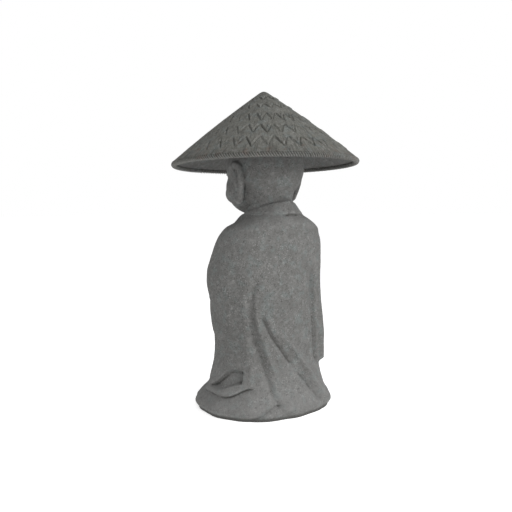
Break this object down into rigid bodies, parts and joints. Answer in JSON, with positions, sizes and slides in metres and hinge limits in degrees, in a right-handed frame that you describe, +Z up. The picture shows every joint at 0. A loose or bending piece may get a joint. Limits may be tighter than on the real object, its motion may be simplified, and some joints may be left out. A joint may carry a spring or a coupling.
{
  "type": "monk figurine",
  "caption": "Standing child monk in a long-sleeved robe, palms together under a wide conical plaited straw hat, cast in one piece, for a garden or shelf.",
  "frame": {"origin": "centre of the figure's flat underside in plan, straight below the middle of the hat's brim, on the floor", "axes": "+Z up, the monk faces -Y, +X is the monk's left"},
  "size_m": [0.2934, 0.2931, 0.4946],
  "materials": {
    "cast_stone": "matte, grainy dark grey cast stone with faint brown stains on the hat"
  },
  "bodies": {
    "root": {"monk_figurine": "cast_stone"}
  },
  "joints": []
}
